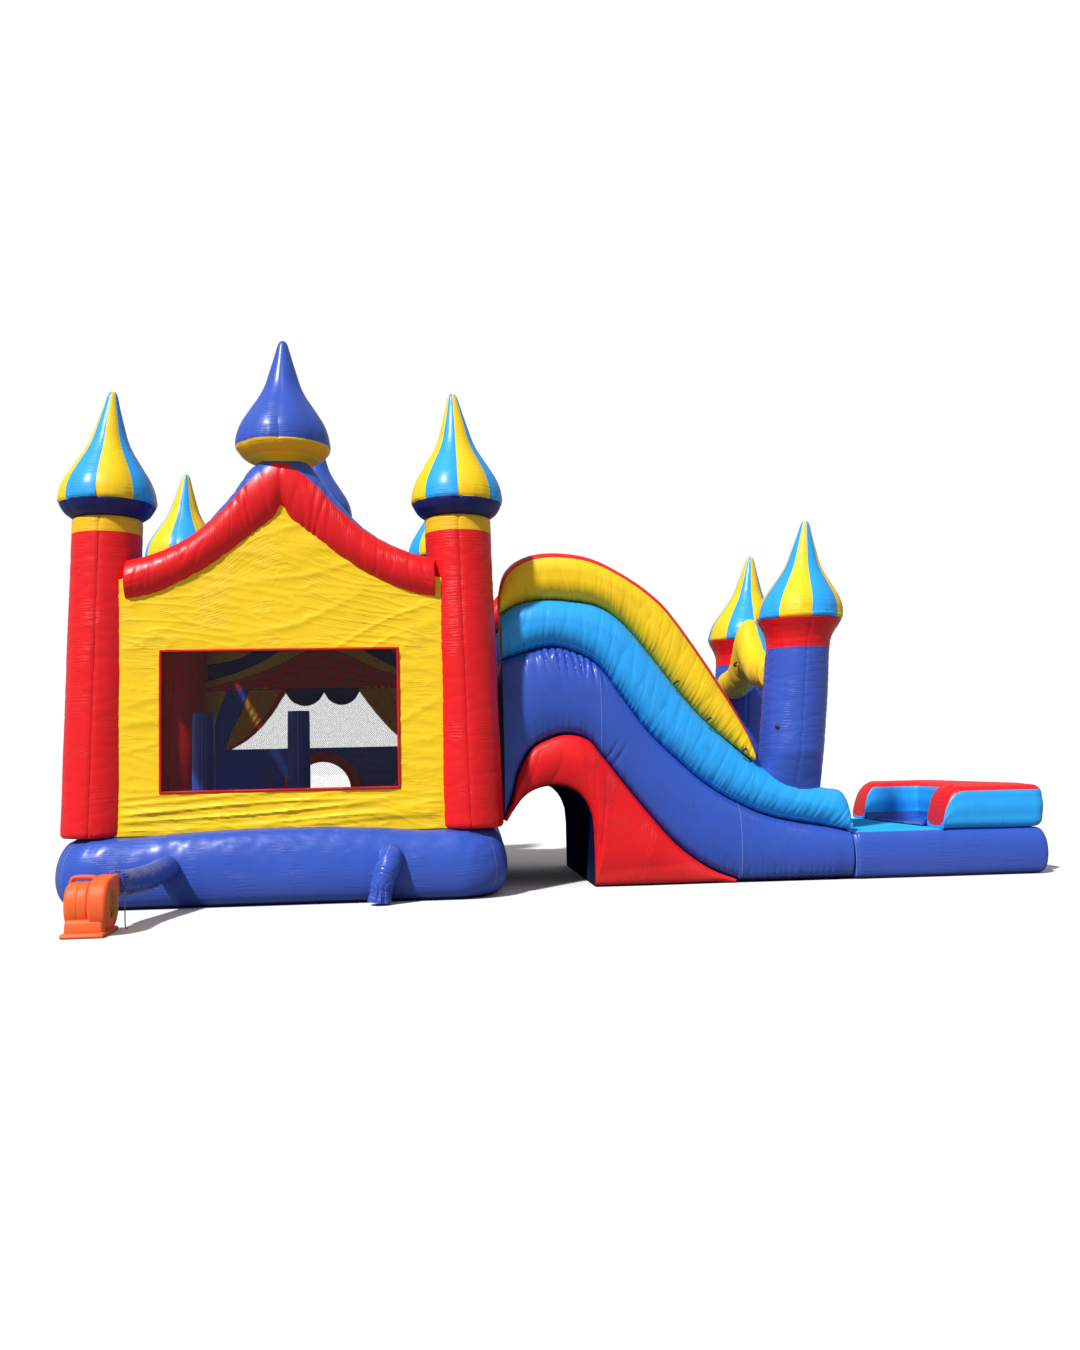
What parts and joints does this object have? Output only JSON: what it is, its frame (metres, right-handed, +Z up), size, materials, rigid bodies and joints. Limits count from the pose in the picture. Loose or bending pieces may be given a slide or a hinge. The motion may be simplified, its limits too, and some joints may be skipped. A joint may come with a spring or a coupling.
{
  "type": "inflatable bounce house",
  "caption": "Inflatable bounce house with onion-dome towers, netted windows, a curved slide with a tunnel, a splash pool and an orange electric blower.",
  "frame": {"origin": "centre of the square base's underside, on the ground", "axes": "+X from the bounce house down the slide to the pool, +Y to the rear doorway, +Z up; the large window, tubes and blower are at -Y"},
  "size_m": [9.4355, 6.41, 5.176],
  "materials": {
    "red_vinyl": "glossy PVC-coated fabric",
    "yellow_vinyl": "glossy PVC-coated fabric",
    "royal_vinyl": "glossy PVC-coated fabric",
    "sky_vinyl": "glossy PVC-coated fabric",
    "black_net": "fine woven net",
    "webbing": "woven polyester webbing",
    "orange_plastic": "moulded polyethylene, satin",
    "grille_plastic": "moulded plastic",
    "grey_plastic": "glass-filled nylon",
    "motor_metal": "satin paint",
    "black_plastic": "satin",
    "steel": "zinc plated"
  },
  "bodies": {
    "inflatable": {"base_cushion": "royal_vinyl", "bounce_floor": "royal_vinyl", "roof_sheet": "royal_vinyl", "popup_pillar_left": "royal_vinyl", "popup_pillar_middle": "royal_vinyl", "climbing_ramp": "royal_vinyl", "entrance_step": "royal_vinyl", "slide_body": "royal_vinyl", "slide_bed": "royal_vinyl", "pool_base": "royal_vinyl", "inflation_tube": "royal_vinyl", "deflation_tube": "royal_vinyl", "end_tower_near": "royal_vinyl", "end_tower_far": "royal_vinyl", "gable_dome_front": "royal_vinyl", "gable_dome_rear": "royal_vinyl", "tower_front_left": "red_vinyl", "tower_rear_left": "red_vinyl", "tower_front_right": "red_vinyl", "tower_rear_right": "red_vinyl", "gable_arch_front": "red_vinyl", "gable_arch_rear": "red_vinyl", "side_beam_left": "red_vinyl", "side_beam_right": "red_vinyl", "tunnel_arch": "red_vinyl", "tower_dome_front_left": "sky_vinyl", "tower_dome_rear_left": "sky_vinyl", "tower_dome_front_right": "sky_vinyl", "tower_dome_rear_right": "sky_vinyl", "end_dome_near": "sky_vinyl", "end_dome_far": "sky_vinyl", "slide_wall_lower_near": "sky_vinyl", "slide_wall_lower_far": "sky_vinyl", "pool_wall": "sky_vinyl", "wall_panel_front": "yellow_vinyl", "wall_panel_rear": "yellow_vinyl", "wall_panel_left": "yellow_vinyl", "wall_panel_right": "yellow_vinyl", "slide_wall_upper_near": "yellow_vinyl", "slide_wall_upper_far": "yellow_vinyl", "end_arch": "yellow_vinyl", "window_net_front": "black_net", "window_net_rear": "black_net", "window_net_left": "black_net", "blower_housing": "orange_plastic", "inlet_grille": "grille_plastic", "blower_motor": "motor_metal", "cord_gland": "black_plastic", "anchor_tab_rear_left": "webbing", "anchor_tab_rear_right": "webbing", "anchor_tab_left": "webbing", "anchor_tab_pool_end": "webbing", "zip_tape": "webbing"},
    "impeller": {"impeller": "grey_plastic"},
    "switch": {"blower_switch": "black_plastic"},
    "zip": {"zip_slider": "steel"},
    "ring_rear_left": {"anchor_ring_rear_left": "steel"},
    "ring_rear_right": {"anchor_ring_rear_right": "steel"},
    "ring_left": {"anchor_ring_left": "steel"},
    "ring_pool_end": {"anchor_ring_pool_end": "steel"}
  },
  "joints": [
    {"name": "impeller_spin", "type": "hinge", "parent": "inflatable", "child": "impeller", "pos_m": [-1.15, -3.42, 0.225], "axis": [1, 0, 0], "continuous": true},
    {"name": "switch_rock", "type": "hinge", "parent": "inflatable", "child": "switch", "pos_m": [-1.3895, -3.42, 0.29], "axis": [0, 1, 0], "range_deg": [0, 12]},
    {"name": "ring_rear_left_swing", "type": "hinge", "parent": "inflatable", "child": "ring_rear_left", "pos_m": [-1.3, 1.988, 0.148], "axis": [1, 0, 0], "range_deg": [0, 150]},
    {"name": "ring_rear_right_swing", "type": "hinge", "parent": "inflatable", "child": "ring_rear_right", "pos_m": [1.3, 1.988, 0.148], "axis": [1, 0, 0], "range_deg": [0, 150]},
    {"name": "ring_left_swing", "type": "hinge", "parent": "inflatable", "child": "ring_left", "pos_m": [-1.988, 0, 0.148], "axis": [0, 1, 0], "range_deg": [0, 150]},
    {"name": "ring_pool_end_swing", "type": "hinge", "parent": "inflatable", "child": "ring_pool_end", "pos_m": [7.398, 0, 0.148], "axis": [0, -1, 0], "range_deg": [0, 150]},
    {"name": "zip_slide", "type": "slide", "parent": "inflatable", "child": "zip", "axis": [1, 0, 0], "range_m": [0, 0.62]}
  ]
}
